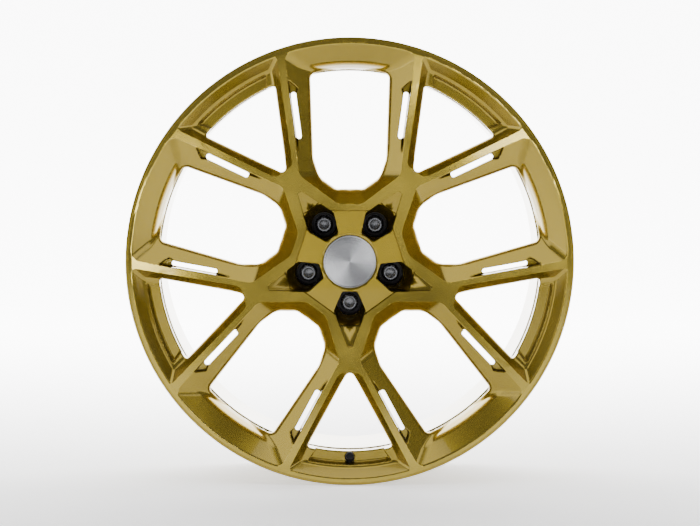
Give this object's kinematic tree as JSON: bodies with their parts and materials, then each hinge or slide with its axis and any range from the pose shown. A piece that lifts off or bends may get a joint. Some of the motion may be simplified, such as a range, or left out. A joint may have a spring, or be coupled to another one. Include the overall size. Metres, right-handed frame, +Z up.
{
  "type": "wheel rim",
  "caption": "Forged car wheel rim with forked spokes, lug bolts in deep pockets, a centre cap, a hub centring ring and a tyre valve.",
  "frame": {"origin": "on the wheel's axis at the middle of the rim's width (the rim centre line from which the offset is measured)", "axes": "Y is the wheel's axis and -Y the outboard (street) side; +Z up, with the valve at the bottom; +X to the right seen from the street side"},
  "size_m": [0.5732, 0.2526, 0.5732],
  "materials": {
    "gold_paint": "gloss gold paint under clear coat, with machined flats on the lip and ridges",
    "ring_plastic": "matte",
    "bolt_steel": "dark zinc-plated steel",
    "collar_steel": "black coated steel",
    "spun_aluminium": "spun, with circular turning marks",
    "black_plastic": "moulded",
    "spring_steel": "drawn wire",
    "black_anodised": "black anodised",
    "black_rubber": "moulded",
    "brass": "turned"
  },
  "bodies": {
    "wheel": {"forged_face": "gold_paint", "flow_formed_barrel": "gold_paint", "hub_centring_ring": "ring_plastic", "valve_body": "black_anodised", "valve_seal": "black_rubber", "valve_washer": "black_anodised", "valve_nut": "black_anodised", "valve_core": "brass"},
    "centre_cap": {"cap_disc": "spun_aluminium", "cap_body": "black_plastic", "cap_spring_ring": "spring_steel"},
    "valve_cap": {"valve_cap": "black_anodised"},
    "collar_1": {"bolt_collar_1": "collar_steel"},
    "bolt_1": {"lug_bolt_1": "bolt_steel"},
    "collar_2": {"bolt_collar_2": "collar_steel"},
    "bolt_2": {"lug_bolt_2": "bolt_steel"},
    "collar_3": {"bolt_collar_3": "collar_steel"},
    "bolt_3": {"lug_bolt_3": "bolt_steel"},
    "collar_4": {"bolt_collar_4": "collar_steel"},
    "bolt_4": {"lug_bolt_4": "bolt_steel"},
    "collar_5": {"bolt_collar_5": "collar_steel"},
    "bolt_5": {"lug_bolt_5": "bolt_steel"}
  },
  "joints": [
    {"name": "bolt_1_travel", "type": "slide", "parent": "wheel", "child": "collar_1", "axis": [0, -1, 0], "range_m": [0, 0.0255]},
    {"name": "bolt_1_turn", "type": "hinge", "parent": "collar_1", "child": "bolt_1", "pos_m": [0, -0.03, -0.056], "axis": [0, -1, 0], "range_deg": [0, 6120]},
    {"name": "bolt_2_travel", "type": "slide", "parent": "wheel", "child": "collar_2", "axis": [0, -1, 0], "range_m": [0, 0.0255]},
    {"name": "bolt_2_turn", "type": "hinge", "parent": "collar_2", "child": "bolt_2", "pos_m": [0.05326, -0.03, -0.01731], "axis": [0, -1, 0], "range_deg": [0, 6120]},
    {"name": "bolt_3_travel", "type": "slide", "parent": "wheel", "child": "collar_3", "axis": [0, -1, 0], "range_m": [0, 0.0255]},
    {"name": "bolt_3_turn", "type": "hinge", "parent": "collar_3", "child": "bolt_3", "pos_m": [0.03292, -0.03, 0.0453], "axis": [0, -1, 0], "range_deg": [0, 6120]},
    {"name": "bolt_4_travel", "type": "slide", "parent": "wheel", "child": "collar_4", "axis": [0, -1, 0], "range_m": [0, 0.0255]},
    {"name": "bolt_4_turn", "type": "hinge", "parent": "collar_4", "child": "bolt_4", "pos_m": [-0.03292, -0.03, 0.0453], "axis": [0, -1, 0], "range_deg": [0, 6120]},
    {"name": "bolt_5_travel", "type": "slide", "parent": "wheel", "child": "collar_5", "axis": [0, -1, 0], "range_m": [0, 0.0255]},
    {"name": "bolt_5_turn", "type": "hinge", "parent": "collar_5", "child": "bolt_5", "pos_m": [-0.05326, -0.03, -0.01731], "axis": [0, -1, 0], "range_deg": [0, 6120]},
    {"name": "centre_cap_pull", "type": "slide", "parent": "wheel", "child": "centre_cap", "axis": [0, -1, 0], "range_m": [0, 0.025]},
    {"name": "valve_cap_off", "type": "slide", "parent": "wheel", "child": "valve_cap", "axis": [0, -0.9397, 0.342], "range_m": [0, 0.012]}
  ],
  "couplings": [
    {"joint": "bolt_1_turn", "follows": "bolt_1_travel", "rad_per_m": 4188.8},
    {"joint": "bolt_2_turn", "follows": "bolt_2_travel", "rad_per_m": 4188.8},
    {"joint": "bolt_3_turn", "follows": "bolt_3_travel", "rad_per_m": 4188.8},
    {"joint": "bolt_4_turn", "follows": "bolt_4_travel", "rad_per_m": 4188.8},
    {"joint": "bolt_5_turn", "follows": "bolt_5_travel", "rad_per_m": 4188.8}
  ]
}
